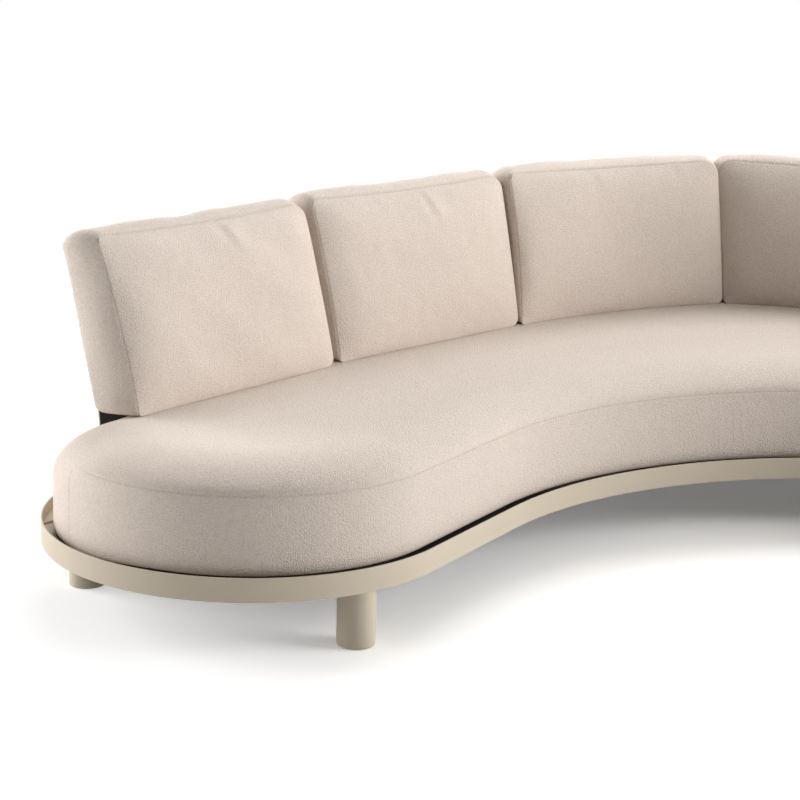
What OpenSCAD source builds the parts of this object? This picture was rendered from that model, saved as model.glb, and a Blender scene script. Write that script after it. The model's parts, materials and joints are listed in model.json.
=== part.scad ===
// A curved outdoor sofa on a low rail base, with one moulded seat cushion and six loose back cushions.
// The plan is the same on both sides of the middle. Lengths are millimetres, the front looks along -Y,
// and the origin is on the floor under the middle of the plan.

/* [Plan] */
// Radius of each round end, to the outside of the rail
end_r = 451; // [440:1:465]
// Length of the straight runs between the hollow front and the round ends
front_run = 356.4; // [345:0.1:368]
// Distance of the round ends' centres behind the centre of the hollow front curve
end_y = 548; // [535:1:565]
// Radius of the hollow front curve, to the outside of the rail
front_r = 935; // [905:1:945]
// Depth of the base in the middle, over the rails
mid_depth = 1050; // [1030:5:1070]
// Angle between the straight back sides and the middle of the back
back_turn = 42; // [41:0.5:43]

/* [Base frame] */
// Height of the rail's lower edge above the floor
rail_z = 122; // [110:1:140]
// Height of the flat rail
rail_h = 51; // [45:1:60]
// Thickness of the flat rail
rail_t = 4; // [3:0.5:8]
// Width of each cross beam
beam_w = 60; // [50:1:80]
// Height of each cross beam
beam_h = 20; // [16:1:25]
// Distance of the end beams outward from the round ends' centres, along the back
end_beam_out = 94; // [85:1:105]
// Sideways distance of the inner beams from the middle
inner_x = 450; // [420:5:480]
// Distance of the outer beams from the round ends' centres towards the middle, along the back
outer_beam_t = 500; // [450:5:560]
// Distance of the outriggers behind the round ends' centres
outrigger_back = 260; // [250:1:275]
// Width of the spine tubes that tie the beams together
spine_w = 40; // [30:1:50]
// Distance of the spine tubes in from the outside of the back rail
spine_in = 435; // [415:5:475]
// Width of the lip that carries the boards, measured from the rail's inner face
lip_w = 45; // [35:1:55]
// Thickness of the lip
lip_t = 4; // [3:0.5:5]
// Space between the straight and the curved sections of the lip
lip_joint = 1; // [0.5:0.5:3]
// Thickness of the boards under the seat cushion
deck_t = 6; // [4:1:8]
// Thickness of the shelf behind the back panels
shelf_t = 4; // [3:0.5:6]
// Distance that the boards lie in from the seat cushion's edge
board_inset = 4; // [2:1:8]
// Space between neighbouring boards
board_joint = 2; // [1:0.5:4]
// Length of the drain slots in the boards
slot_len = 160; // [100:10:200]
// Width of the drain slots
slot_w = 10; // [8:1:14]
// Distance from the boards' back edge, and from the spines, to the first row of drain slots
slot_from = 90; // [80:5:100]
// Distance between the rows of drain slots
slot_pitch = 70; // [50:5:80]

/* [Legs] */
// Diameter of each leg
leg_d = 80; // [70:1:90]
// Wall of each leg
leg_wall = 4; // [3:0.5:6]
// Rounding of each leg's lower edge
leg_round = 4; // [2:0.5:6]
// Distance of the front legs' centres in from the outside of the rail
front_leg_in = 42; // [41:1:60]
// Distance of the side legs' centres in from the outside of the rail
side_leg_in = 94; // [85:1:110]
// Distance of the back legs' centres in from the outside of the rail
back_leg_in = 170; // [160:1:195]
// Distance of the hidden middle leg behind the outside of the front rail
mid_leg_in = 530; // [480:5:600]
// Thickness of the plate that closes the top of each leg
plate_t = 6; // [5:1:10]
// Diameter of each glide
glide_d = 60; // [50:1:64]
// Height of each glide
glide_h = 8; // [6:1:12]
// Height that the glides keep the legs off the floor
glide_drop = 1.5; // [1:0.5:3]

/* [Back frame] */
// Distance of the back panels' face in from the outside of the rail, at the shelf
panel_in = 97; // [93:1:99]
// Recline of the back panels from upright
panel_lean = 6; // [5:0.5:6]
// Thickness of the sheet back panels
panel_t = 4; // [3:0.5:5]
// Thickness of the dark lining on the panels
liner_t = 3; // [2:0.5:4]
// Height of the panels' upper edge above the floor
panel_top = 585; // [540:5:590]
// Distance that the panels run past the middle of each end beam
panel_past = 18; // [14:1:20]
// Distance of the end posts in from the panels' ends
post_in = 25; // [22:1:27]
// Width of each post along the panel
post_w = 26; // [24:1:28]
// Depth of each post behind the panel
post_t = 18; // [17:1:20]
// Height of the rail that caps the panels
cap_h = 12; // [8:1:16]
// Distance that the cap stands proud of the lining and the posts
cap_lap = 2; // [1:0.5:4]

/* [Bolts] */
// Shank diameter of the frame bolts
bolt_d = 10; // [8:1:12]
// Head diameter of the frame bolts
bolt_head_d = 17; // [15:1:20]
// Head height of the frame bolts
bolt_head_h = 6; // [5:0.5:8]
// Space around each bolt shank in its hole, across
bolt_play = 0.6; // [0.4:0.1:1]
// Depth that the post bolts reach into the posts
post_bite = 20; // [12:1:30]

/* [Seat cushion] */
// Space between the rail's inner face and the seat cushion
seat_gap = 22; // [18:1:30]
// Distance of the seat cushion's back edge in from the outside of the back rail
seat_back_in = 145; // [140:1:155]
// Height of the seat cushion's sewn edge above the floor
seat_seam_z = 329; // [310:1:340]
// Height of the seat cushion's top above the floor, where the back cushions rest
seat_top_z = 385; // [375:1:400]
// Radius of the seat cushion's back corners
seat_corner_r = 148; // [130:1:155]
// Width over which the seat cushion's top rounds down to its edge
seat_soft = 165; // [155:1:172]
// Distance that the edge rounds in behind the side seam of each round end
seat_fall = 27; // [15:1:30]

/* [Back cushions] */
// Width of each end cushion
end_cushion_w = 648; // [620:1:660]
// Width of each cushion between the end and the centre
mid_cushion_w = 651; // [620:1:655]
// Width of each cushion beside the middle, along the line of the front seams
centre_cushion_w = 680; // [650:1:684]
// Space between the seams of neighbouring cushions
cushion_gap = 5; // [5:1:12]
// Space between the seams of each end cushion and its neighbour
end_gap = 30; // [26:1:40]
// Height of each back cushion along its slope
cushion_h = 389; // [370:1:400]
// Thickness of each back cushion between its two seams
cushion_t = 92; // [80:1:94]
// Swelling of each front face beyond its seam
cushion_crown = 26; // [18:1:30]
// Swelling of each back face beyond its seam
cushion_back_crown = 14; // [8:1:18]
// Bow of each back face's seam halfway up
cushion_belly = 16; // [5:1:18]
// Recline of the end cushions from upright
end_lean = 16.5; // [14:0.5:17]
// Recline of the cushions between the end and the centre
mid_lean = 13.5; // [11:0.5:14]
// Recline of the cushions beside the middle
centre_lean = 11.5; // [10:0.5:14]
// Distance of the centre cushions' front seams in from the outside of the rail, near the middle
centre_near_in = 241; // [239:1:250]
// The same at the centre cushions' far ends
centre_far_in = 255; // [250:1:265]
// The same at the near ends of the cushions between
mid_near_in = 251; // [245:1:260]
// The same at the far ends of the cushions between
mid_far_in = 238; // [236:1:245]
// The same at the near ends of the end cushions
end_near_in = 250; // [247:1:260]
// The same at the far ends of the end cushions
end_far_in = 301; // [290:1:305]
// Spread of the upper edge beyond the lower one at both sides of the end cushions
end_flare = 10; // [5:1:12]
// Spread of the upper edge at both sides of the cushions between
mid_flare = 13; // [8:1:14]
// Distance that the two centre cushions' meeting sides spread towards each other at the top
centre_flare = 35; // [32:1:36]
// Distance that the seam between the two centre cushions leans to the left at the top
centre_shift = 18; // [12:1:20]
// Distance that the backs of the two centre cushions swell towards each other at the top
centre_fill = 34; // [26:1:35]
// Distance that the far side and the top of each cushion are drawn in between the corners
cushion_draw = 8; // [2:1:10]
// Distance that the near side of each cushion swells out between the corners
cushion_swell = 4; // [1:1:4]
// Swelling of the cushions' sides between the seams
cushion_side_puff = 4; // [2:0.5:4]
// Swelling of the cushions' top between the seams
cushion_top_puff = 21; // [12:1:25]
// Corner radius of the cushions' faces
cushion_corner_r = 26; // [20:1:45]
// Backward bow of the two cushions beside the middle
centre_bow = 34; // [20:1:38]

/* [Hidden] */

fine = 180;      // facets of the large curves
round_fn = 64;   // facets of the legs, bolts and other small round parts
touch = 0.3;     // space kept between pieces that rest on each other without being fixed
cut = 1;         // overlap of cutting tools past the faces that they cut
line_in = 250;   // inset of the line along which the back cushions are spaced
seam_from = 196; // direction from a round end's centre where the rounded edge begins to sharpen
seam_to = 214;   // direction where the sharp sewn edge has fully begun
soft_end_t = 100; // place on the straight back from which the seat's back edge softens to the corner

// Colours of the finishes
rail_colour = [0.72, 0.67, 0.57];
dark_colour = [0.07, 0.07, 0.07];
fabric_colour = [0.87, 0.80, 0.75];
steel_colour = [0.62, 0.62, 0.62];

// Plan curves. The centre of the hollow front curve is the plan's own zero.
centres = sqrt(pow(front_r + end_r, 2) + front_run * front_run);
end_x = sqrt(centres * centres - end_y * end_y);
front_angle = 180 - atan2(end_y, end_x) - acos((front_r + end_r) / centres);
back_y = front_r + mid_depth;
back_line = end_x * sin(back_turn) + end_y * cos(back_turn) + end_r;
back_cy = (back_y - back_line) / (1 - cos(back_turn));
back_r = back_y - back_cy;
end_from = 90 + back_turn;
end_to = 180 + front_angle;
back_run = end_x * cos(back_turn) + (back_cy - end_y) * sin(back_turn);
plan_mid = (end_y - end_r + back_y) / 2;
reach = 1.5 * back_y;

// Heights
beam_top = rail_z + beam_h;
shelf_top = beam_top + shelf_t;
seat_base = beam_top + deck_t + touch;
cushion_base = seat_top_z + touch;

// Places along the straight back, counted from the round end's centre towards the middle
end_beam_t = -end_beam_out;
end_post_t = post_w / 2 - end_beam_out - panel_past + post_in;
shelf_in = seat_back_in + back_share(board_inset) - touch;
bore_d = bolt_d + bolt_play;
side_slots = [
    outer_beam_t / 4,
    outer_beam_t * 3 / 4,
    outer_beam_t + (back_run - outer_beam_t) / 4,
    outer_beam_t + (back_run - outer_beam_t) / 2
];
slot_rows = [
    seat_back_in + slot_from,
    seat_back_in + slot_from + slot_pitch,
    spine_in + slot_from,
    spine_in + slot_from + slot_pitch
];
post_bolt_in = panel_in - panel_t - post_t / 2;
inner_turn = asin(inner_x / (back_r - post_bolt_in));

// Places of the left legs and of the two legs on the middle line
front_leg_r = end_r - front_leg_in;
side_leg_r = end_r - side_leg_in;
front_leg_at = end_point(end_beam_t, -sqrt(pow(front_leg_r, 2) - pow(end_beam_t, 2)));
side_leg_at = end_point(-sqrt(pow(side_leg_r, 2) - pow(outrigger_back, 2)), outrigger_back);
back_leg_at = end_point(outer_beam_t, end_r - back_leg_in);
back_centre_leg_at = [0, back_y - back_leg_in];
middle_leg_at = [0, front_r + mid_leg_in];

// A point on the plan, given along and across the straight back from the left end's centre
function end_point(t, d) = [
    -end_x + t * cos(back_turn) - d * sin(back_turn),
    end_y + t * sin(back_turn) + d * cos(back_turn)
];

// Points along an arc, both ends included
function arc_points(centre, r, from, to, count) = [
    for (i = [0:count - 1])
        let (a = from + (to - from) * i / (count - 1))
        [centre[0] + r * cos(a), centre[1] + r * sin(a)]
];

// Points strictly between two points
function between_points(a, b, count) = [
    for (i = [1:count])
        a + (b - a) * i / (count + 1)
];

// Inward distance of the panels' face from the outside of the rail, at a height
function panel_face(z) = panel_in - (z - shelf_top) * tan(panel_lean);

// A leaning strip between two inward distances from the panels' face
function leaning_strip(near, far, top) = [
    [panel_face(shelf_top) + near, shelf_top],
    [panel_face(shelf_top) + far, shelf_top],
    [panel_face(top) + far, top],
    [panel_face(top) + near, top]
];

function box_profile(near, far, low, high) = [[near, low], [far, low], [far, high], [near, high]];

// Inset of the seat's back edge that goes with an inset e of its other edges
function back_share(e) = min(e, seat_soft) / 4 + max(e - seat_soft, 0);

// Share of the end's rounding at a direction from the round end's centre
function round_share(a) = (1 + cos(180 * min(max((a - seam_from) / (seam_to - seam_from), 0), 1))) / 2;

// Left half of the seat's outline, drawn in by e, from the middle of the back round to the front
function seat_half(e, fall) =
    let (
        back_w = seat_back_in + back_share(e),
        r_end = end_r - rail_t - seat_gap - e,
        r_front = front_r + rail_t + seat_gap + e,
        corner = seat_corner_r * (1 - (e + fall) / (2 * seat_soft)),
        corner_r = r_end - fall - corner,
        turn = acos((end_r - seat_back_in - e - fall - corner) / corner_r),
        corner_from = end_from + turn,
        corner_at = [-end_x + corner_r * cos(corner_from), end_y + corner_r * sin(corner_from)],
        back_arc = arc_points([0, back_cy], back_r - back_w, 90, end_from, 8),
        soft_end = end_point(soft_end_t, end_r - back_w),
        front_arc = arc_points([0, 0], r_front, front_angle, 90, 9),
        end_arc = [
            for (i = [1:17])
                let (a = corner_from + (end_to - corner_from) * i / 17, r = r_end - fall * round_share(a))
                [-end_x + r * cos(a), end_y + r * sin(a)]
        ]
    )
    concat(
        back_arc,
        between_points(back_arc[7], soft_end, 3),
        [soft_end],
        arc_points(corner_at, corner, end_from, corner_from, 5),
        end_arc,
        between_points(end_arc[16], front_arc[0], 3),
        front_arc
    );

// Whole outline of the seat, drawn in by e
function seat_outline(e, fall = 0) =
    let (half = seat_half(e, fall), last = len(half) - 1)
    concat(half, [for (i = [last - 1:-1:1]) [-half[i][0], half[i][1]]]);

// Faces of a solid made of rings of equal count, each ring above the one before
function ring_faces(rings, count) = concat(
    [[for (j = [0:count - 1]) j]],
    [
        for (i = [0:rings - 2], j = [0:count - 1], half = [0:1])
            let (a = i * count, k = (j + 1) % count)
            half == 0 ? [a + j, a + count + j, a + count + k] : [a + j, a + count + k, a + k]
    ],
    [[for (j = [count - 1:-1:0]) (rings - 1) * count + j]]
);

// A point on the plan, given along the cushions' line from the middle and in from the outside of the rail
function cushion_line(s, w) =
    let (
        r = back_r - line_in,
        arc_len = r * back_turn * PI / 180,
        a = 90 + min(s, arc_len) / r * 180 / PI,
        past = max(s - arc_len, 0)
    )
    [(back_r - w) * cos(a) - past * cos(back_turn), back_cy + (back_r - w) * sin(a) - past * sin(back_turn)];

// Round-cornered outline of a cushion's face: half width, lower and upper edge, corner radius
function face_outline(half_w, low, high, r) = concat(
    arc_points([half_w - r, low + r], r, -90, 0, 5),
    between_points([half_w, low + r], [half_w, high - r], 3),
    arc_points([half_w - r, high - r], r, 0, 90, 5),
    between_points([half_w - r, high], [r - half_w, high], 5),
    arc_points([r - half_w, high - r], r, 90, 180, 5),
    between_points([-half_w, high - r], [-half_w, low + r], 3),
    arc_points([r - half_w, low + r], r, 180, 270, 5),
    between_points([r - half_w, low], [half_w - r, low], 5)
);

// Rings of a back cushion: drawn in from the seam, place across the thickness, swelling of the edge
cushion_face = [[150, 1], [95, 0.9], [45, 0.64], [14, 0.28], [0, 0]];
cushion_rings = concat(
    [for (f = cushion_face) [f[0], -cushion_t / 2 - cushion_back_crown * f[1], 0]],
    [[0, -cushion_t / 4, 0.85], [0, cushion_t / 4, 1]],
    [for (i = [4:-1:0]) [cushion_face[i][0], cushion_t / 2 + cushion_crown * cushion_face[i][1], 0]]
);

// Place of a cushion point, bent back in the middle, leaning, and flat underneath
function cushion_point(u, v, q, half_w, lean, flares, fill, bow) =
    let (
        half_up = max(1 - pow(2 * v / cushion_h - 1, 2), 0),
        spread = u < 0 ? flares[0] : flares[1] + fill * (0.5 - q / cushion_t),
        flare = spread * v / cushion_h * u / half_w,
        side_draw = (u < 0 ? cushion_draw : -cushion_swell) * half_up * u / half_w,
        top_draw = cushion_draw * (1 - pow(u / half_w, 2)) * v / cushion_h,
        rise = max(v - top_draw, 0),
        belly = cushion_belly * half_up * max(-2 * q / cushion_t, 0),
        tilt = lean * min(1, 2 * v / cushion_h),
        back = cushion_t / 2 + rise * sin(lean) - q * cos(tilt) + belly
    )
    [
        u + flare - side_draw,
        back + bow * (1 - pow(u / half_w, 2)),
        cushion_base + rise * cos(lean) + (q - cushion_t / 2) * sin(tilt)
    ];

// Moves the plan so that its middle lies over the origin
module placed() {
    translate([0, -plan_mid, 0])
        children();
}

module on_side(side) {
    if (side < 0) {
        children();
    } else {
        mirror([1, 0, 0])
            children();
    }
}

// Sweeps of a profile of inward distance and height along the parts of the base's outline
module front_curve(profile) {
    rotate([0, 0, 180 - front_angle])
        rotate_extrude(angle = 2 * front_angle - 180, $fn = fine)
            polygon([for (p = profile) [front_r + p[0], p[1]]]);
}

module back_curve(profile) {
    translate([0, back_cy, 0])
        rotate([0, 0, 90 - back_turn])
            rotate_extrude(angle = 2 * back_turn, $fn = fine)
                polygon([for (p = profile) [back_r - p[0], p[1]]]);
}

module end_curve(profile) {
    translate([-end_x, end_y, 0])
        rotate([0, 0, end_from])
            rotate_extrude(angle = end_to - end_from, $fn = fine)
                polygon([for (p = profile) [end_r - p[0], p[1]]]);
}

module straight_sweep(length, profile) {
    rotate([90, 0, 90])
        linear_extrude(height = length)
            polygon(profile);
}

module front_straight(profile, gap = 0) {
    translate([-end_x + end_r * cos(end_to), end_y + end_r * sin(end_to), 0])
        rotate([0, 0, front_angle - 90])
            translate([gap, 0, 0])
                straight_sweep(front_run - 2 * gap, profile);
}

// The straight back starts where the back curve ends and runs past the round end's centre by a distance
module back_straight(profile, past = 0, gap = 0) {
    translate([-back_r * sin(back_turn), back_cy + back_r * cos(back_turn), 0])
        rotate([0, 0, 180 + back_turn])
            translate([gap, 0, 0])
                straight_sweep(back_run + past - 2 * gap, profile);
}

// Frames on the outside of the back, with X along it and -Y inward
module at_straight(t) {
    translate([-end_x, end_y, 0])
        rotate([0, 0, back_turn])
            translate([t, end_r, 0])
                children();
}

module at_inner_post() {
    translate([0, back_cy, 0])
        rotate([0, 0, inner_turn])
            translate([0, back_r, 0])
                children();
}

module at_middle() {
    translate([0, back_y, 0])
        children();
}

// Rail

rail_profile = box_profile(0, rail_t, rail_z, rail_z + rail_h);
lip_profile = box_profile(rail_t, rail_t + lip_w, beam_top - lip_t, beam_top);

module rail_front() {
    color(rail_colour)
        placed() {
            front_curve(rail_profile);
            front_straight(rail_profile);
            mirror([1, 0, 0])
                front_straight(rail_profile);
        }
}

module rail_back() {
    color(rail_colour)
        placed() {
            back_curve(rail_profile);
            back_straight(rail_profile);
            mirror([1, 0, 0])
                back_straight(rail_profile);
        }
}

module rail_end(side) {
    color(rail_colour)
        placed()
            on_side(side)
                end_curve(rail_profile);
}

module lip_curves() {
    front_curve(lip_profile);
    back_curve(lip_profile);
}

module lip_straights(gap) {
    front_straight(lip_profile, gap);
    back_straight(lip_profile, 0, gap);
}

module lip_solid() {
    lip_curves();
    for (side = [-1, 1]) {
        on_side(side) {
            end_curve(lip_profile);
            lip_straights(0);
        }
    }
}

module deck_lip() {
    color(rail_colour)
        placed() {
            lip_curves();
            for (side = [-1, 1]) {
                on_side(side) {
                    difference() {
                        end_curve(lip_profile);
                        leg_hole(front_leg_at);
                    }
                    lip_straights(lip_joint);
                }
            }
        }
}

// Beams

module beam_bar(length) {
    translate([-beam_w / 2, -length, rail_z])
        cube([beam_w, length - rail_t, beam_h]);
}

module bolt_hole(w) {
    translate([0, -w, rail_z - cut])
        cylinder(h = beam_h + 2 * cut, d = bore_d, $fn = round_fn);
}

module tall_disc(r) {
    translate([0, 0, rail_z - cut])
        cylinder(h = beam_h + 2 * cut, r = r, $fn = fine);
}

module beam_centre() {
    color(rail_colour)
        placed()
            difference() {
                intersection() {
                    at_middle()
                        beam_bar(mid_depth);
                    translate([0, back_cy, 0])
                        tall_disc(back_r - rail_t);
                }
                tall_disc(front_r + rail_t);
                lip_solid();
                at_middle() {
                    bolt_hole(post_bolt_in);
                    bolt_hole(back_leg_in);
                    bolt_hole(mid_depth - mid_leg_in);
                }
            }
}

module beam_inner(side) {
    color(rail_colour)
        placed()
            on_side(side)
                difference() {
                    intersection() {
                        translate([-inner_x - beam_w / 2, 0, rail_z])
                            cube([beam_w, back_y, beam_h]);
                        translate([0, back_cy, 0])
                            tall_disc(back_r - rail_t);
                    }
                    tall_disc(front_r + rail_t);
                    lip_solid();
                    at_inner_post()
                        bolt_hole(post_bolt_in);
                }
}

module beam_outer(side) {
    color(rail_colour)
        placed()
            on_side(side)
                difference() {
                    at_straight(outer_beam_t)
                        beam_bar(mid_depth);
                    tall_disc(front_r + rail_t);
                    lip_solid();
                    at_straight(outer_beam_t) {
                        bolt_hole(post_bolt_in);
                        bolt_hole(back_leg_in);
                    }
                }
}

module beam_end(side) {
    color(rail_colour)
        placed()
            on_side(side)
                difference() {
                    intersection() {
                        at_straight(end_beam_t)
                            translate([0, end_r, 0])
                                beam_bar(3 * end_r);
                        translate([-end_x, end_y, 0])
                            tall_disc(end_r - rail_t);
                    }
                    lip_solid();
                    at_straight(end_post_t)
                        bolt_hole(post_bolt_in);
                    leg_hole(front_leg_at);
                }
}

module leg_hole(at) {
    translate([at[0], at[1], 0])
        bolt_hole(0);
}

module outrigger(side) {
    color(rail_colour)
        placed()
            on_side(side)
                difference() {
                    intersection() {
                        translate([-end_x, end_y, rail_z])
                            rotate([0, 0, back_turn])
                                translate([-end_r, outrigger_back - beam_w / 2, 0])
                                    cube([end_r + end_beam_t - beam_w / 2, beam_w, beam_h]);
                        translate([-end_x, end_y, 0])
                            tall_disc(end_r - rail_t);
                    }
                    lip_solid();
                    leg_hole(side_leg_at);
                }
}

module spine_bar(from, to) {
    at_straight(from)
        translate([0, -spine_in - spine_w / 2, rail_z])
            cube([to - from, spine_w, beam_h]);
}

module spine_outer(side) {
    color(rail_colour)
        placed()
            on_side(side)
                spine_bar(end_beam_t + beam_w / 2, outer_beam_t - beam_w / 2);
}

module spine_inner(side) {
    color(rail_colour)
        placed()
            on_side(side)
                difference() {
                    spine_bar(outer_beam_t + beam_w / 2, back_run + front_r);
                    translate([-inner_x - beam_w / 2, 0, rail_z - cut])
                        cube([reach, reach, beam_h + 2 * cut]);
                }
}

// Legs

module leg_at(side, at) {
    inner = leg_d / 2 - leg_wall;
    color(rail_colour)
        placed()
            on_side(side)
                translate([at[0], at[1], 0])
                    rotate_extrude($fn = round_fn)
                        polygon(concat(
                            [[inner, rail_z], [inner, glide_drop]],
                            arc_points(
                                [leg_d / 2 - leg_round, glide_drop + leg_round], leg_round, -90, 0, 7
                            ),
                            [[leg_d / 2, rail_z]]
                        ));
}

module at_legs() {
    for (at = [front_leg_at, side_leg_at, back_leg_at], side = [-1, 1]) {
        on_side(side)
            translate([at[0], at[1], 0])
                children();
    }
    for (at = [back_centre_leg_at, middle_leg_at]) {
        translate([at[0], at[1], 0])
            children();
    }
}

module leg_plates() {
    color(steel_colour)
        placed()
            at_legs()
                difference() {
                    translate([0, 0, rail_z - plate_t])
                        cylinder(h = plate_t, d = leg_d - 2 * leg_wall, $fn = round_fn);
                    translate([0, 0, rail_z - plate_t - cut])
                        cylinder(h = plate_t + 2 * cut, d = bore_d, $fn = round_fn);
                }
}

module leg_glides() {
    color(dark_colour)
        placed()
            at_legs() {
                cylinder(h = glide_drop, d = glide_d, $fn = round_fn);
                translate([0, 0, glide_drop])
                    cylinder(h = glide_h, d = leg_d - 2 * leg_wall, $fn = round_fn);
            }
}

module bolt(length, head_top) {
    translate([0, 0, head_top - bolt_head_h])
        cylinder(h = bolt_head_h, d = bolt_head_d, $fn = round_fn);
    translate([0, 0, head_top])
        cylinder(h = length, d = bolt_d, $fn = round_fn);
}

module at_posts() {
    at_middle()
        translate([0, -post_bolt_in, 0])
            children();
    for (side = [-1, 1]) {
        on_side(side) {
            at_inner_post()
                translate([0, -post_bolt_in, 0])
                    children();
            for (t = [outer_beam_t, end_post_t]) {
                at_straight(t)
                    translate([0, -post_bolt_in, 0])
                        children();
            }
        }
    }
}

module frame_bolts() {
    color(steel_colour)
        placed() {
            at_legs()
                bolt(plate_t + beam_h, rail_z - plate_t);
            at_posts()
                bolt(beam_h + shelf_t + post_bite, rail_z);
        }
}

// Boards under the seat cushion and the shelf behind the panels

module seat_area() {
    translate([0, 0, beam_top])
        linear_extrude(height = deck_t)
            polygon(seat_outline(board_inset));
}

module between_inner_beams(half_width) {
    translate([-half_width, -reach, beam_top - cut])
        cube([2 * half_width, 2 * reach, deck_t + 2 * cut]);
}

module drain_slots(places) {
    for (x = places, w = slot_rows) {
        translate([x - slot_len / 2, -w - slot_w / 2, beam_top - cut])
            cube([slot_len, slot_w, deck_t + 2 * cut]);
    }
}

module deck_centre() {
    color(dark_colour)
        placed()
            difference() {
                intersection() {
                    seat_area();
                    between_inner_beams(inner_x - board_joint / 2);
                }
                at_middle()
                    drain_slots([-inner_x / 2, inner_x / 2]);
            }
}

module deck_side(side) {
    color(dark_colour)
        placed()
            on_side(side)
                difference() {
                    seat_area();
                    between_inner_beams(inner_x + board_joint / 2);
                    translate([inner_x, -reach, beam_top - cut])
                        cube([reach, 2 * reach, deck_t + 2 * cut]);
                    at_straight(0)
                        drain_slots(side_slots);
                }
}

module post_holes() {
    at_posts()
        translate([0, 0, beam_top - cut])
            cylinder(h = shelf_t + 2 * cut, d = bore_d, $fn = round_fn);
}

module shelf_centre() {
    color(rail_colour)
        placed()
            difference() {
                back_curve(box_profile(rail_t + touch, shelf_in, beam_top, shelf_top));
                post_holes();
            }
}

module shelf_side(side) {
    r = end_r - rail_t - touch;
    turn = acos((end_r - shelf_in) / r);
    color(rail_colour)
        placed()
            on_side(side)
                difference() {
                    translate([0, 0, beam_top])
                        linear_extrude(height = shelf_t)
                            polygon(concat(
                                arc_points([-end_x, end_y], r, end_from + turn, end_from, 24),
                                [end_point(back_run, r), end_point(back_run, end_r - shelf_in)]
                            ));
                    post_holes();
                }
}

// Back frame

panel_profile = leaning_strip(-panel_t, 0, panel_top);
lining_profile = leaning_strip(0, liner_t, panel_top);
post_profile = leaning_strip(-panel_t - post_t, -panel_t, panel_top);
cap_profile = box_profile(
    panel_face(panel_top) - panel_t - post_t - cap_lap,
    panel_face(panel_top) + liner_t + cap_lap,
    panel_top,
    panel_top + cap_h
);

module back_section(side, profile, extra = 0) {
    placed() {
        if (side == 0) {
            back_curve(profile);
        } else {
            on_side(side)
                back_straight(profile, end_beam_out + panel_past + extra);
        }
    }
}

module back_panel(side) {
    color(rail_colour)
        back_section(side, panel_profile);
}

module back_lining(side) {
    color(dark_colour)
        back_section(side, lining_profile);
}

module cap_rail(side) {
    color(rail_colour)
        back_section(side, cap_profile, cap_lap);
}

module post_bar() {
    difference() {
        translate([post_w / 2, 0, 0])
            rotate([0, 0, 180])
                straight_sweep(post_w, post_profile);
        translate([0, -post_bolt_in, shelf_top - cut])
            cylinder(h = post_bite + cut, d = bore_d, $fn = round_fn);
    }
}

module curved_post() {
    intersection() {
        at_middle()
            post_bar();
        back_curve(leaning_strip(-panel_t - 2 * post_t, -panel_t, panel_top));
    }
}

module post_centre() {
    color(rail_colour)
        placed()
            curved_post();
}

module post_inner(side) {
    color(rail_colour)
        placed()
            on_side(side)
                translate([0, back_cy, 0])
                    rotate([0, 0, inner_turn])
                        translate([0, -back_cy, 0])
                            curved_post();
}

module post(side, t) {
    color(rail_colour)
        placed()
            on_side(side)
                at_straight(t)
                    post_bar();
}

// Cushions

function above_seam(share) = seat_seam_z + (seat_top_z - seat_seam_z) * share;

// Rings of the seat cushion: inset, share of the end's rounding, height
seat_rings = [
    [10, 0, seat_base],
    [1, 0, seat_base + 9],
    [0, 0, seat_seam_z - 70],
    [0.5, 0.3, seat_seam_z - 28],
    [4, 0.93, seat_seam_z - 3],
    [5, 1, seat_seam_z + 3],
    [seat_soft * 0.11, 0.96, above_seam(0.21)],
    [seat_soft * 0.23, 0.82, above_seam(0.39)],
    [seat_soft * 0.38, 0.7, above_seam(0.58)],
    [seat_soft * 0.55, 0.48, above_seam(0.75)],
    [seat_soft * 0.76, 0.26, above_seam(0.89)],
    [seat_soft, 0, seat_top_z],
    [seat_soft * 1.45, 0, seat_top_z]
];

module seat_cushion() {
    outlines = [for (ring = seat_rings) seat_outline(ring[0], seat_fall * ring[1])];
    count = len(outlines[0]);
    color(fabric_colour)
        placed()
            polyhedron(
                points = [
                    for (i = [0:len(seat_rings) - 1], p = outlines[i])
                        [p[0], p[1], seat_rings[i][2]]
                ],
                faces = ring_faces(len(seat_rings), count)
            );
}

module back_cushion(side, start, width, near_in, far_in, lean, flares, fill = 0, bow = 0) {
    right = cushion_line(start, near_in);
    left = cushion_line(start + width, far_in);
    chord = right - left;
    half_w = norm(chord) / 2;
    middle = (left + right) / 2;
    outlines = [
        for (ring = cushion_rings)
            face_outline(
                half_w - ring[0] + cushion_side_puff * ring[2],
                ring[0],
                cushion_h - ring[0] + cushion_top_puff * ring[2],
                max(cushion_corner_r - ring[0], cushion_corner_r / 5)
            )
    ];
    count = len(outlines[0]);
    color(fabric_colour)
        placed()
            on_side(side)
                translate([middle[0], middle[1], 0])
                    rotate([0, 0, atan2(chord[1], chord[0])])
                        polyhedron(
                            points = [
                                for (i = [0:len(cushion_rings) - 1], p = outlines[i])
                                    cushion_point(p[0], p[1], cushion_rings[i][1], half_w, lean, flares, fill, bow)
                            ],
                            faces = ring_faces(len(cushion_rings), count)
                        );
}

module centre_cushion(side) {
    back_cushion(
        side, centre_start, centre_cushion_w, centre_near_in, centre_far_in,
        centre_lean, [0, centre_flare + side * centre_shift], centre_fill, centre_bow
    );
}

module mid_cushion(side) {
    back_cushion(side, mid_start, mid_cushion_w, mid_near_in, mid_far_in, mid_lean, [mid_flare, mid_flare]);
}

module end_cushion(side) {
    back_cushion(side, end_start, end_cushion_w, end_near_in, end_far_in, end_lean, [end_flare, end_flare]);
}

centre_start = cushion_gap / 2;
mid_start = centre_start + centre_cushion_w + cushion_gap;
end_start = mid_start + mid_cushion_w + end_gap;

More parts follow.
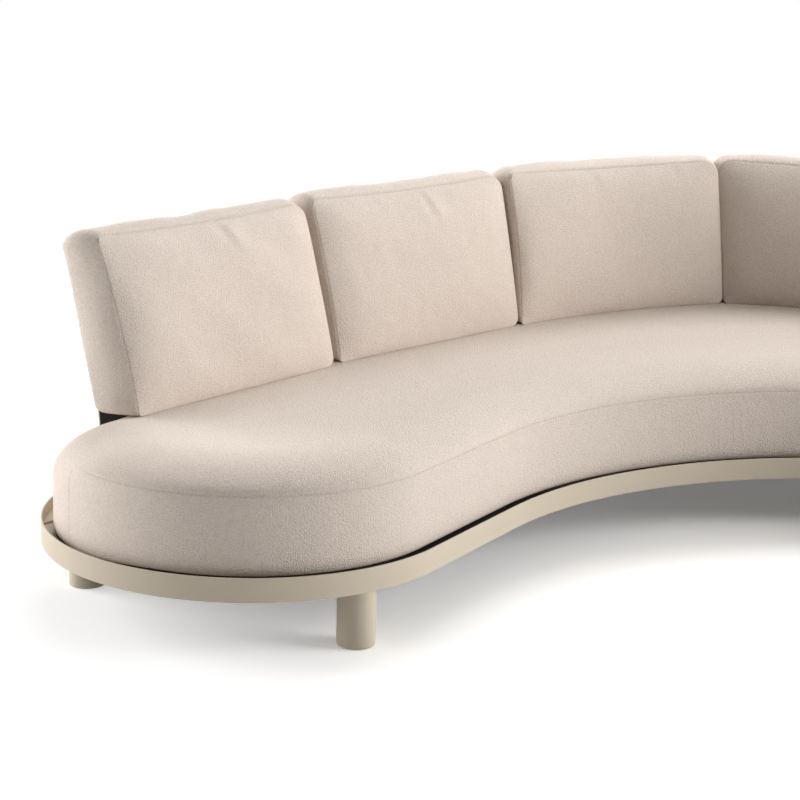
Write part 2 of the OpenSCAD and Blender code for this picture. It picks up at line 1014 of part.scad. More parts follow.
rail_front();
rail_back();
rail_end(-1);  // rail_end_left
rail_end(1);  // rail_end_right
deck_lip();
beam_centre();
beam_inner(-1);  // beam_inner_left
beam_inner(1);  // beam_inner_right
beam_outer(-1);  // beam_outer_left
beam_outer(1);  // beam_outer_right
beam_end(-1);  // beam_end_left
beam_end(1);  // beam_end_right
outrigger(-1);  // outrigger_left
outrigger(1);  // outrigger_right
spine_outer(-1);  // spine_outer_left
spine_outer(1);  // spine_outer_right
spine_inner(-1);  // spine_inner_left
spine_inner(1);  // spine_inner_right
leg_at(-1, front_leg_at);  // leg_front_left
leg_at(1, front_leg_at);  // leg_front_right
leg_at(-1, side_leg_at);  // leg_side_left
leg_at(1, side_leg_at);  // leg_side_right
leg_at(-1, back_leg_at);  // leg_back_left
leg_at(1, back_leg_at);  // leg_back_right
leg_at(-1, back_centre_leg_at);  // leg_back_centre
leg_at(-1, middle_leg_at);  // leg_middle
leg_plates();
leg_glides();
frame_bolts();
deck_centre();
deck_side(-1);  // deck_left
deck_side(1);  // deck_right
shelf_centre();
shelf_side(-1);  // shelf_left
shelf_side(1);  // shelf_right
back_panel(0);  // back_panel_centre
back_panel(-1);  // back_panel_left
back_panel(1);  // back_panel_right
back_lining(0);  // back_lining_centre
back_lining(-1);  // back_lining_left
back_lining(1);  // back_lining_right
post_centre();
post_inner(-1);  // post_inner_left
post_inner(1);  // post_inner_right
post(-1, outer_beam_t);  // post_outer_left
post(1, outer_beam_t);  // post_outer_right
post(-1, end_post_t);  // post_end_left
post(1, end_post_t);  // post_end_right
cap_rail(0);  // cap_rail_centre
cap_rail(-1);  // cap_rail_left
cap_rail(1);  // cap_rail_right
seat_cushion();
end_cushion(-1);  // back_cushion_end_left
mid_cushion(-1);  // back_cushion_mid_left
centre_cushion(-1);  // back_cushion_centre_left
centre_cushion(1);  // back_cushion_centre_right
mid_cushion(1);  // back_cushion_mid_right
end_cushion(1);  // back_cushion_end_right
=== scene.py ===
import json
import math

import bmesh
import bpy
import numpy as np
from mathutils import Matrix, Vector


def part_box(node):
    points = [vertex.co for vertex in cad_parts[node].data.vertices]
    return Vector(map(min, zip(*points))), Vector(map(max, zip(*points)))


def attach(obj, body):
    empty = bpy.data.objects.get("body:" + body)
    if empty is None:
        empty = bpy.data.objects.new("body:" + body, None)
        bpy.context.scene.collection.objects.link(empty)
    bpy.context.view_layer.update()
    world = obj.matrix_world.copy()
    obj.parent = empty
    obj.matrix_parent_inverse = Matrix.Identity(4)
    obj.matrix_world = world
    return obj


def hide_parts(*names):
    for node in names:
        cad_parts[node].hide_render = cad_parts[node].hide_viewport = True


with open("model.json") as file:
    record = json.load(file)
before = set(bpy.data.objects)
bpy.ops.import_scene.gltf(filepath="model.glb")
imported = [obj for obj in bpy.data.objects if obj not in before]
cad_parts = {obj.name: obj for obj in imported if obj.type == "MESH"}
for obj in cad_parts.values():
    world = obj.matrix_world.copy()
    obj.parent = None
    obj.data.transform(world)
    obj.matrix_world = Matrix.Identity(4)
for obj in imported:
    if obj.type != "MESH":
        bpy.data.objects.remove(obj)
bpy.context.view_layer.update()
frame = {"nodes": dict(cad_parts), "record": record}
print("frame loaded", len(frame["nodes"]), "nodes")

# Plan of the sofa, in metres and degrees, as the frame was built.
# endR, endY: the round ends' radius and centres. frontR, frontRun: the hollow front's radius and the straight
# beside it. midDepth: from the hollow front to the back. backTurn: from the middle of the back to its straight.
plan = {
    "endR": 0.451, "endY": 0.548, "frontR": 0.935, "frontRun": 0.3564, "midDepth": 1.050,
    "backTurn": 42.0, "railT": 0.004, "railZ": 0.122, "railH": 0.051,
}
turn = math.radians(plan["backTurn"])
endR, endY, frontR, frontRun = plan["endR"], plan["endY"], plan["frontR"], plan["frontRun"]
centres = math.hypot(frontR + endR, frontRun)
endX = math.sqrt(centres ** 2 - endY ** 2)
frontAngle = math.pi - math.atan2(endY, endX) - math.acos((frontR + endR) / centres)
backY = frontR + plan["midDepth"]
backLine = endX * math.sin(turn) + endY * math.cos(turn) + endR
backCy = (backY - backLine) / (1 - math.cos(turn))
backR = backY - backCy
backRun = endX * math.cos(turn) + (backCy - endY) * math.sin(turn)
endFrom, endTo = math.pi / 2 + turn, math.pi + frontAngle
planMid = (endY - endR + backY) / 2


def endPoint(t, d):
    x = -endX + t * math.cos(turn) - d * math.sin(turn)
    return x, endY + t * math.sin(turn) + d * math.cos(turn) - planMid


# Shader tools: a wire is a socket whose sums and products add their own Math nodes
class Wire:
    def __init__(self, kit, socket):
        self.kit, self.socket = kit, socket

    def calc(self, operation, *values):
        return self.kit.add("ShaderNodeMath", {"operation": operation}, dict(enumerate(values)))

    def __add__(self, other): return self.calc("ADD", self, other)
    def __radd__(self, other): return self.calc("ADD", other, self)
    def __sub__(self, other): return self.calc("SUBTRACT", self, other)
    def __rsub__(self, other): return self.calc("SUBTRACT", other, self)
    def __mul__(self, other): return self.calc("MULTIPLY", self, other)
    def __rmul__(self, other): return self.calc("MULTIPLY", other, self)


class NodeKit:
    def __init__(self, owner):
        self.owner = owner
        owner.use_nodes = True
        self.tree = owner.node_tree
        self.tree.nodes.clear()

    def add(self, kind, settings=None, inputs=None, out=0):
        node = self.tree.nodes.new(kind)
        for key, value in (settings or {}).items():
            setattr(node, key, value)
        for key, value in (inputs or {}).items():
            if isinstance(value, Wire):
                self.tree.links.new(value.socket, node.inputs[key])
            else:
                node.inputs[key].default_value = value
        return Wire(self, node.outputs[out]) if len(node.outputs) else None

    def mix(self, share, first, second):
        # the Mix node's colours are its sockets 6 and 7, and the mixed colour its output 2
        return self.add("ShaderNodeMix", {"data_type": "RGBA", "clamp_factor": True},
                        {0: share, 6: first, 7: second}, out=2)

    def noise(self, place, scale, detail):
        return self.add("ShaderNodeTexNoise", None, {"Vector": place, "Scale": scale, "Detail": detail})

    def bump(self, height, strength, depth):
        return self.add("ShaderNodeBump", None, {"Height": height, "Strength": strength, "Distance": depth})

    def surface(self, shader, output="ShaderNodeOutputMaterial"):
        self.add(output, None, {"Surface": shader})
        return self.owner


def rgb(r, g, b):
    return r, g, b, 1.0


# Fabric: pebbly outdoor weave with flat, level grains, soft mottling and a little sheen; painted shade in the
# grains' hollows, in the seams and on the seat's set-back foot
fabricLook = {
    # the third colour is painted shade, mixed in at the seams and on the seat's set-back foot
    "thread": rgb(0.84, 0.743, 0.668), "shade": rgb(0.675, 0.582, 0.510), "paintedShadeColour": rgb(0.10, 0.075, 0.06),
    "pebble": 285.0, "pebbleSoft": 0.35, "pebbleRandom": 0.85, "flatten": 1.45,
    "fibre": 640.0, "fibreDetail": 2.0, "mottle": 22.0, "mottleDetail": 5.0,
    "grainTone": 2.0, "mottleTone": 0.35, "fibreTone": 0.3, "toneDrop": 1.11, "paintedShadeStrength": 0.14,
    "grainHeight": 0.85, "fibreHeight": 0.3, "bump": 1.0, "bumpDepth": 0.0018,
    "rough": 0.86, "fibreRough": 0.12, "sheen": 0.15, "sheenRough": 0.5, "specular": 0.2,
}


def fabricMaterial():
    kit = NodeKit(bpy.data.materials.new("outdoorWeave"))
    look = fabricLook
    place = kit.add("ShaderNodeTexCoord", out="Object")
    level = kit.add("ShaderNodeMapping", None, {"Vector": place, "Scale": (1.0, 1.0, look["flatten"])})
    pebble = kit.add("ShaderNodeTexVoronoi", {"feature": "SMOOTH_F1"}, {
        "Vector": level, "Scale": look["pebble"], "Smoothness": look["pebbleSoft"],
        "Randomness": look["pebbleRandom"]})
    fibre = kit.noise(level, look["fibre"], look["fibreDetail"])
    mottle = kit.noise(place, look["mottle"], look["mottleDetail"])
    grain = 1.0 - pebble
    height = grain * look["grainHeight"] + fibre * look["fibreHeight"]
    # the tone follows the grains, paler on their tops and darker in the hollows between them: partly the
    # weave's own tone, partly painted shade of its relief; mottle and fibres vary it at random
    tone = (grain * look["grainTone"] + mottle * look["mottleTone"] + fibre * look["fibreTone"]
            - look["toneDrop"])
    colour = kit.mix(tone, look["shade"], look["thread"])
    # painted shade from the vertices' seam attribute: the seams' grooves and the seat's set-back foot go
    # towards a near-black brown
    seam = kit.add("ShaderNodeAttribute", {"attribute_name": "seam"}, out="Fac")
    colour = kit.mix(seam * look["paintedShadeStrength"], colour, look["paintedShadeColour"])
    return kit.surface(kit.add("ShaderNodeBsdfPrincipled", None, {
        "Base Color": colour, "Roughness": look["rough"] + fibre * look["fibreRough"],
        "Normal": kit.bump(height, look["bump"], look["bumpDepth"]), "Sheen Weight": look["sheen"],
        "Sheen Roughness": look["sheenRough"], "Specular IOR Level": look["specular"]}))


# Powder coat: satin, very fine orange peel, faint tone change
coatLook = {
    "base": rgb(0.612, 0.535, 0.422), "low": rgb(0.572, 0.497, 0.390), "grain": 620.0, "grainDetail": 3.0,
    "cloud": 7.0, "cloudDetail": 4.0, "grainTone": 0.4, "cloudTone": 0.6, "bump": 0.12, "bumpDepth": 0.0004,
    "rough": 0.42, "grainRough": 0.12, "specular": 0.32,
}


def coatMaterial():
    kit = NodeKit(bpy.data.materials.new("powderCoat"))
    look = coatLook
    place = kit.add("ShaderNodeTexCoord", out="Object")
    grain = kit.noise(place, look["grain"], look["grainDetail"])
    cloud = kit.noise(place, look["cloud"], look["cloudDetail"])
    tone = grain * look["grainTone"] + cloud * look["cloudTone"]
    return kit.surface(kit.add("ShaderNodeBsdfPrincipled", None, {
        "Base Color": kit.mix(tone, look["low"], look["base"]),
        "Roughness": look["rough"] + grain * look["grainRough"],
        "Normal": kit.bump(grain, look["bump"], look["bumpDepth"]), "Specular IOR Level": look["specular"]}))


# Zinc-plated steel: spangled tone and hazy gloss, on the bolts and the plates inside the legs
steelLook = {
    "pale": rgb(0.62, 0.62, 0.61), "deep": rgb(0.45, 0.46, 0.47), "spangle": 90.0,
    "haze": 240.0, "hazeDetail": 4.0, "rough": 0.3, "hazeRough": 0.25,
}


def steelMaterial():
    kit = NodeKit(bpy.data.materials.new("zincPlate"))
    look = steelLook
    place = kit.add("ShaderNodeTexCoord", out="Object")
    spangle = kit.add("ShaderNodeTexVoronoi", None, {"Vector": place, "Scale": look["spangle"]})
    haze = kit.noise(place, look["haze"], look["hazeDetail"])
    return kit.surface(kit.add("ShaderNodeBsdfPrincipled", None, {
        "Base Color": kit.mix(spangle, look["pale"], look["deep"]),
        "Roughness": look["rough"] + haze * look["hazeRough"], "Metallic": 1.0}))


# Dark finishes: small cells and a little dust. Each kind has its colour, cell scale, roughness and bump depth
darkLook = {
    "dust": 35.0, "dustDetail": 5.0, "cellTone": 0.5, "dustTone": 0.4, "paleGain": 2.4, "paleLift": 0.012,
    "bump": 0.6, "dustRough": 0.1,
    "spacerMesh": (rgb(0.012, 0.012, 0.012), 420.0, 0.85, 0.0012),
    "blackBoard": (rgb(0.014, 0.014, 0.015), 160.0, 0.6, 0.0003),
    "blackCoat": (rgb(0.016, 0.016, 0.016), 520.0, 0.55, 0.0002),
    "glideRubber": (rgb(0.018, 0.018, 0.018), 300.0, 0.75, 0.0003),
}


def darkMaterial(name):
    kit = NodeKit(bpy.data.materials.new(name))
    look = darkLook
    colour, scale, rough, depth = look[name]
    place = kit.add("ShaderNodeTexCoord", out="Object")
    cells = kit.add("ShaderNodeTexVoronoi", None, {"Vector": place, "Scale": scale})
    dust = kit.noise(place, look["dust"], look["dustDetail"])
    pale = rgb(*[min(level * look["paleGain"] + look["paleLift"], 1.0) for level in colour[:3]])
    return kit.surface(kit.add("ShaderNodeBsdfPrincipled", None, {
        "Base Color": kit.mix(cells * look["cellTone"] + dust * look["dustTone"], colour, pale),
        "Roughness": rough + dust * look["dustRough"], "Normal": kit.bump(cells, look["bump"], depth)}))


coat = coatMaterial()
fabric = fabricMaterial()
steel = steelMaterial()
finishes = {
    "powder_coat": coat, "fabric": fabric, "bare_steel": steel, "bolt_steel": steel,
    "lining": darkMaterial("spacerMesh"), "deck_board": darkMaterial("blackBoard"),
    "dark_coat": darkMaterial("blackCoat"), "glide": darkMaterial("glideRubber"),
}
for row in frame["record"]["subparts"]:
    node = frame["nodes"][row["node"]]
    node.data.materials.clear()
    # the lip shows inside the rail at the left end, in the rail's own coat
    node.data.materials.append(coat if row["node"] == "deck_lip" else finishes[row["material_slot"]])
print("finishes set on the frame's pieces")


def makePiece(name, bm, material, body, nodes):
    bmesh.ops.recalc_face_normals(bm, faces=bm.faces)
    mesh = bpy.data.meshes.new(name)
    bm.to_mesh(mesh)
    bm.free()
    mesh.materials.append(material)
    mesh.polygons.foreach_set("use_smooth", [True] * len(mesh.polygons))
    piece = bpy.data.objects.new(name, mesh)
    bpy.context.scene.collection.objects.link(piece)
    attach(piece, body)
    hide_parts(*nodes)
    return piece


def weighNormals(piece):
    # the broad faces shade flat, and only the narrow rounded edges turn
    weigh = piece.modifiers.new("weigh", "WEIGHTED_NORMAL")
    weigh.keep_sharp = True
    weigh.weight = 80


# Rail: one bent flat bar round the whole base
railBar = {"steps": 26, "endSteps": 104, "sharp": 1.2, "edge": 0.0009, "edgeSegments": 2}


def planLoop(bm, height):
    # the rail's outer line: the left half from the middle of the back, then its mirror image
    def bend(last, centre, angle, count):
        done = bmesh.ops.spin(bm, geom=[last], cent=(centre[0], centre[1] - planMid, height),
                              axis=(0, 0, 1), dvec=(0, 0, 0), angle=angle, steps=count,
                              use_merge=False, use_normal_flip=False, use_duplicate=False)
        return [v for v in done["geom_last"] if isinstance(v, bmesh.types.BMVert)][0]

    def run(last, direction, length):
        done = bmesh.ops.extrude_vert_indiv(bm, verts=[last])
        bmesh.ops.translate(bm, verts=done["verts"], vec=Vector(direction) * length)
        return done["verts"][0]

    last = bm.verts.new((0, backY - planMid, height))
    last = bend(last, (0, backCy), turn, railBar["steps"])
    last = run(last, (-math.cos(turn), -math.sin(turn), 0), backRun)
    last = bend(last, (-endX, endY), endTo - endFrom, railBar["endSteps"])
    tangent = endTo + math.pi / 2
    last = run(last, (math.cos(tangent), math.sin(tangent), 0), frontRun)
    bend(last, (0, 0), math.pi / 2 - frontAngle, railBar["steps"])
    bmesh.ops.mirror(bm, geom=bm.verts[:] + bm.edges[:], axis="X", merge_dist=1e-5)
    bmesh.ops.remove_doubles(bm, verts=bm.verts, dist=1e-5)


def makeRail():
    bm = bmesh.new()
    planLoop(bm, plan["railZ"])
    up = bmesh.ops.extrude_edge_only(bm, edges=bm.edges[:])
    rising = [v for v in up["geom"] if isinstance(v, bmesh.types.BMVert)]
    bmesh.ops.translate(bm, verts=rising, vec=(0, 0, plan["railH"]))
    # the wall grows inwards, so the back of the strip has to face outwards first
    bmesh.ops.recalc_face_normals(bm, faces=bm.faces)
    face = max(bm.faces, key=lambda f: f.calc_center_median().y)
    if face.normal.y < 0:
        bmesh.ops.reverse_faces(bm, faces=bm.faces)
    bmesh.ops.solidify(bm, geom=bm.faces[:], thickness=plan["railT"])
    sharp = [e for e in bm.edges if len(e.link_faces) == 2 and e.calc_face_angle(0) > railBar["sharp"]]
    bmesh.ops.bevel(bm, geom=sharp, offset=railBar["edge"], offset_type="OFFSET",
                    segments=railBar["edgeSegments"], profile=0.5, affect="EDGES", material=-1)
    weighNormals(makePiece("base_rail", bm, coat, "frame",
                           ["rail_front", "rail_back", "rail_end_left", "rail_end_right"]))


makeRail()
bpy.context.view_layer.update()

# Legs: round tube, closed above by its plate, lower edge rounded over
legTube = {"radius": 0.040, "wall": 0.004, "low": 0.0015, "round": 0.004, "roundSegments": 6, "steps": 96}


def makeLeg(name):
    low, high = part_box(name)
    x, y = (low[0] + high[0]) / 2, (low[1] + high[1]) / 2
    outer, inner = legTube["radius"], legTube["radius"] - legTube["wall"]
    bm = bmesh.new()
    corners = [bm.verts.new((x + r, y, z)) for r, z in (
        (inner, high[2]), (inner, legTube["low"]), (outer, legTube["low"]), (outer, high[2]))]
    for i in range(4):
        bm.edges.new((corners[i], corners[(i + 1) % 4]))
    bmesh.ops.bevel(bm, geom=[corners[2]], offset=legTube["round"], offset_type="OFFSET",
                    segments=legTube["roundSegments"], profile=0.5, affect="VERTICES", material=-1)
    bmesh.ops.spin(bm, geom=bm.verts[:] + bm.edges[:], cent=(x, y, 0), axis=(0, 0, 1), dvec=(0, 0, 0),
                   angle=math.tau, steps=legTube["steps"], use_merge=True, use_normal_flip=False,
                   use_duplicate=False)
    bmesh.ops.remove_doubles(bm, verts=bm.verts, dist=1e-5)
    weighNormals(makePiece(name + "_tube", bm, coat, "frame", [name]))


legNames = ["leg_front_left", "leg_front_right", "leg_side_left", "leg_side_right",
            "leg_back_left", "leg_back_right", "leg_back_centre", "leg_middle"]
for name in legNames:
    makeLeg(name)
print("legs made", len(legNames))

# Seat cushion: one moulded foam seat, sewn round the front and up the side of each round end
seatForm = {
    "gap": 0.022, "backIn": 0.145, "base": 0.1493, "seam": 0.329, "top": 0.385, "crown": 0.004,
    "soft": 0.165, "cornerR": 0.148, "cornerLeast": 0.12, "softEnd": 0.100,
    # degrees round the left end: where the sewn front turns into the rounded back, and the seam up the side
    "seamFrom": 190.0, "seamTo": 222.0, "sideSeam": 206.0, "sideSeamR": 0.42, "sideSeamFade": 0.012,
    "roundLow": 0.269, "rollSewn": (2.25, 1.32), "rollRound": (1.52, 2.09), "rollStart": 0.0068,
    "groove": 0.0011, "grooveWide": 0.0017, "sideDraw": 0.0035, "lowDraw": 0.001,
    # inset, height above the base and painted shade of the set-back foot's rings
    "plinth": [(0.034, 0.0, 7.0), (0.032, 0.0090, 7.0), (0.026, 0.0130, 7.0), (0.014, 0.0150, 5.0),
               (0.006, 0.0170, 0.5), (0.0022, 0.0205, 0.0), (0.0006, 0.0265, 0.0)],
    "plinthEase": 0.004, "footLow": 0.30, "footFrom": 205.0, "footTo": 245.0,
    # inset and height from the seam of the rings beside it
    "seamRings": [(0.0036, -0.0045), (0.0040, -0.0026), (0.0045, -0.0013), (0.0049, 0.0), (0.0051, 0.0013),
                  (0.0053, 0.0026), (0.0058, 0.0045), (0.0068, 0.0075)],
    "belowSeam": 0.007, "aboveSeam": 0.0075,
    # the line in the middle of the top, and how far towards it the top's rings lie
    "spine": [(-1.36, 0.50), (-1.0, 0.83), (-0.7, 1.08), (-0.35, 1.30), (0.0, 1.385)], "spineSteps": 401,
    "topRings": (0.08, 0.17, 0.27, 0.38, 0.5, 0.62, 0.74, 0.86, 0.95), "crownFrom": 0.45,
    # stations along each stretch of the outline, with close ones beside the side seam
    "backArc": 46, "backRun": 56, "soften": 8, "corner": 22, "end": 118, "frontRun": 14, "frontArc": 60,
    "sideSeamSteps": (-9, -6, -4, -2.6, -1.3, 0, 1.3, 2.6, 4, 6, 9), "sideSeamStep": 0.00082,
    "sideSeamClear": 0.0095, "sewnSteps": 16, "sewnFrom": 0.06, "rollSteps": 34, "rollEase": 1.5,
}


def cornerPlan(e):
    s = seatForm
    rEnd = endR - plan["railT"] - s["gap"] - e
    corner = s["cornerR"] * max(1 - e / (2 * s["soft"]), s["cornerLeast"])
    spread = math.acos((endR - s["backIn"] - e - corner) / (rEnd - corner))
    return rEnd, corner, endFrom + spread


def part(value, low, high):
    # how far value has come from low to high, from 0 to 1
    return min(max((value - low) / (high - low), 0), 1)


def endAngle(value):
    # degrees at a share of the way round the left end
    return math.degrees(cornerPlan(0)[2] + (endTo - cornerPlan(0)[2]) * value)


def seatColumns():
    # stations round the left half, from the middle of the back to the middle of the front
    s = seatForm
    seam = (math.radians(s["sideSeam"]) - cornerPlan(0)[2]) / (endTo - cornerPlan(0)[2])
    fine = seam + np.array(s["sideSeamSteps"]) * s["sideSeamStep"]
    sweep = [m for m in np.linspace(0, 1, s["end"])[:-1] if abs(m - seam) > s["sideSeamClear"]]
    stations = [("backArc", a, 1.0) for a in np.linspace(math.pi / 2, endFrom, s["backArc"])[:-1]]
    stations += [("backRun", t, 1.0) for t in np.linspace(backRun, s["softEnd"], s["backRun"])[:-1]]
    stations += [("soften", m, 1.0) for m in np.linspace(0, 1, s["soften"])[:-1]]
    stations += [("corner", m, 1.0) for m in np.linspace(0, 1, s["corner"])[:-1]]
    for m in sorted(sweep + list(fine)):
        share = part(endAngle(m), s["seamFrom"], s["seamTo"])
        stations.append(("end", m, (1 + math.cos(math.pi * share)) / 2))
    stations += [("frontRun", m, 0.0) for m in np.linspace(0, 1, s["frontRun"])[:-1]]
    stations += [("frontArc", a, 0.0) for a in np.linspace(frontAngle, math.pi / 2, s["frontArc"])]
    return stations, seam


def footLevel(kind, value):
    # the set-back foot, painted dark with shade, shows along the front and sinks away round the ends
    s = seatForm
    if kind in ("frontRun", "frontArc"):
        return 1.0
    if kind != "end":
        return s["footLow"]
    share = part(endAngle(value), s["footFrom"], s["footTo"])
    return s["footLow"] + (1 - s["footLow"]) * share * share * (3 - 2 * share)


def seatPoint(kind, value, e):
    s = seatForm
    rEnd, corner, cornerFrom = cornerPlan(e)
    cx = -endX + (rEnd - corner) * math.cos(cornerFrom)
    cy = endY + (rEnd - corner) * math.sin(cornerFrom) - planMid
    w = s["backIn"] + min(e, s["soft"]) / 4 + max(e - s["soft"], 0)
    if kind == "backArc":
        return (backR - w) * math.cos(value), backCy + (backR - w) * math.sin(value) - planMid
    if kind == "backRun":
        return endPoint(value, endR - w)
    if kind == "soften":
        ax, ay = endPoint(s["softEnd"], endR - w)
        bx, by = cx + corner * math.cos(endFrom), cy + corner * math.sin(endFrom)
        return ax + (bx - ax) * value, ay + (by - ay) * value
    if kind == "corner":
        a = endFrom + (cornerFrom - endFrom) * value
        return cx + corner * math.cos(a), cy + corner * math.sin(a)
    if kind == "end":
        a = cornerFrom + (endTo - cornerFrom) * value
        return -endX + rEnd * math.cos(a), endY + rEnd * math.sin(a) - planMid
    front = frontR + plan["railT"] + s["gap"] + e
    if kind == "frontRun":
        ax, ay = -endX + rEnd * math.cos(endTo), endY + rEnd * math.sin(endTo)
        bx, by = front * math.cos(frontAngle), front * math.sin(frontAngle)
        return ax + (bx - ax) * value, ay + (by - ay) * value - planMid
    return front * math.cos(value), front * math.sin(value) - planMid


def rolled(k, bends):
    # height of the rounded edge at a share of its width
    return (1 - (1 - k) ** bends[0]) ** (1 / bends[1])


def seatRings():
    # inset and height on the sewn front, then on the rounded back, from the bottom to the top
    s = seatForm
    base, seam, low, soft, lowDraw = s["base"], s["seam"], s["roundLow"], s["soft"], s["lowDraw"]
    # set-back foot, painted dark with shade, then the cushion's own lower edge
    rings = [(e, base + up, e, base + up) for e, up, _ in s["plinth"]]
    start = base + s["plinth"][-1][1] + s["plinthEase"]
    for k in np.linspace(s["sewnFrom"], 1, s["sewnSteps"]):
        rings.append((s["sideDraw"] * k ** 4, start + (seam - s["belowSeam"] - start) * k,
                      lowDraw * k, start + (low - start) * k))
    upper, inner, above = list(s["seamRings"]), s["rollStart"], s["aboveSeam"]
    climb = s["top"] - seam - above
    for k in np.linspace(0.0, 1, s["rollSteps"])[1:] ** s["rollEase"]:
        upper.append((inner + (soft - inner) * k, above + climb * rolled(k, s["rollSewn"])))
    for n, (e, up) in enumerate(upper):
        k = ((n + 1) / len(upper)) ** s["rollEase"]
        rings.append((e, seam + up, lowDraw + (soft - lowDraw) * k,
                      low + (s["top"] - low) * rolled(k, s["rollRound"])))
    return rings


def mirrored(half, flip):
    # rows of the left half, then the right half backwards and the first column again, so that the ring closes
    whole = np.concatenate([half, half[:, -2:0:-1] * flip], 1)
    return np.concatenate([whole, whole[:, :1]], 1)


def seatRow(number, ring, stations, sideSeam):
    # one ring of the left half: its points, and how much painted shade each gets in the seam's groove and on
    # the set-back foot
    s = seatForm
    eSewn, zSewn, eRound, zRound = ring
    row, paintedShade = [], []
    # painted shade on the set-back foot's rings
    foot = s["plinth"][number][2] if number < len(s["plinth"]) else 0.0
    for kind, value, share in stations:
        e = eSewn + (eRound - eSewn) * share
        z = zSewn + (zRound - zSewn) * share
        if number < len(s["plinth"]):
            z = s["base"] + (z - s["base"]) * footLevel(kind, value)
        dip = (1 - share) * math.exp(-((z - s["seam"]) / s["grooveWide"]) ** 2)
        if kind == "end" and z < s["seam"]:
            along = (value - sideSeam) * (endTo - cornerPlan(0)[2]) * s["sideSeamR"]
            fade = min((s["seam"] - z) / s["sideSeamFade"], 1)
            dip = max(dip, math.exp(-(along / s["grooveWide"]) ** 2) * fade)
        row.append((*seatPoint(kind, value, e + s["groove"] * dip), z))
        # painted shade, strongest in the seams' grooves and on the set-back foot
        paintedShade.append(max(dip, foot))
    return row, paintedShade


def makeSeat():
    s = seatForm
    stations, sideSeam = seatColumns()
    rows, paintedShades = zip(*[seatRow(number, ring, stations, sideSeam) for number, ring in enumerate(seatRings())])
    rows, paintedShades = np.array(rows), list(paintedShades)
    # the top closes in rings that shrink towards the line in its middle
    spine = np.array(s["spine"])
    spine[:, 1] -= planMid
    fine = np.linspace(0, len(spine) - 1, s["spineSteps"])
    line = np.stack([np.interp(fine, range(len(spine)), spine[:, axis]) for axis in (0, 1)], 1)
    last = rows[-1]
    nearest = np.array([line[((line - p[:2]) ** 2).sum(1).argmin()] for p in last])
    for k in s["topRings"]:
        ring = last.copy()
        ring[:, :2] += (nearest - last[:, :2]) * k
        up = part(k, s["crownFrom"], 1)
        ring[:, 2] = s["top"] + s["crown"] * up * up * (3 - 2 * up)
        rows = np.concatenate([rows, ring[None]])
        paintedShades.append([0.0] * len(last))
    whole, paintedShades = mirrored(rows, np.array([-1, 1, 1])), mirrored(np.array(paintedShades), 1)
    count, width = whole.shape[:2]
    bm = bmesh.new()
    # painted shade per vertex, read by the fabric's shader
    paintedShadeLayer = bm.verts.layers.float.new("seam")
    bmesh.ops.create_grid(bm, x_segments=width - 1, y_segments=count - 1, size=0.5)
    for v in bm.verts:
        at = round((v.co.y + 0.5) * (count - 1)), round((v.co.x + 0.5) * (width - 1))
        v.co = whole[at]
        v[paintedShadeLayer] = paintedShades[at]
    bmesh.ops.remove_doubles(bm, verts=bm.verts, dist=1e-6)
    bmesh.ops.holes_fill(bm, edges=[e for e in bm.edges if e.is_boundary], sides=0)
    piece = makePiece("seat_pad", bm, fabric, "seat", ["seat_cushion"])


makeSeat()
print("seat made")

# Back cushions: boxed, sewn round the front and the back, with swollen faces
backForm = {
    "height": 0.389, "thick": 0.092, "step": 0.008, "gap": 0.005, "endGap": 0.030, "lineIn": 0.250,
    "base": 0.3853, "crown": 0.027, "backCrown": 0.014, "belly": 0.016, "draw": 0.008, "swell": 0.004,
    "sidePuff": 0.009, "topPuff": 0.026, "puffMiddle": 1.08, "puffEnds": 0.5, "puffRound": 0.72,
    "pinch": 0.0011, "pinchWide": 0.0019, "pinchIn": 0.8, "lowFill": 0.7, "heelRound": 0.030,
    "earUp": 0.35,
    # the corners' radius: this share in the middle of the side, more to the front and less to the back
    "cornerShare": 0.8, "cornerTaper": 0.2,
    # how far from each edge the faces have swollen
    "reachSide": 0.042, "reachLow": 0.036, "reachTop": 0.042, "faceStart": 2.2,
    # wavelength and height: soft waves, finer ones, those on the sides, and the gathers below the top seam
    "wave": (0.24, 0.0019), "fineWave": (0.07, 0.0003), "ripple": (0.20, 0.0018),
    "gather": (0.040, 0.0004), "gatherStretch": 0.12, "gatherReach": 0.030,
    # a fold: where it starts to fade, and the ridge beside its furrow
    "foldFade": 0.35, "foldStart": -0.3, "ridgeAt": 0.017, "ridgeWide": 0.015, "furrowWide": 0.011,
}
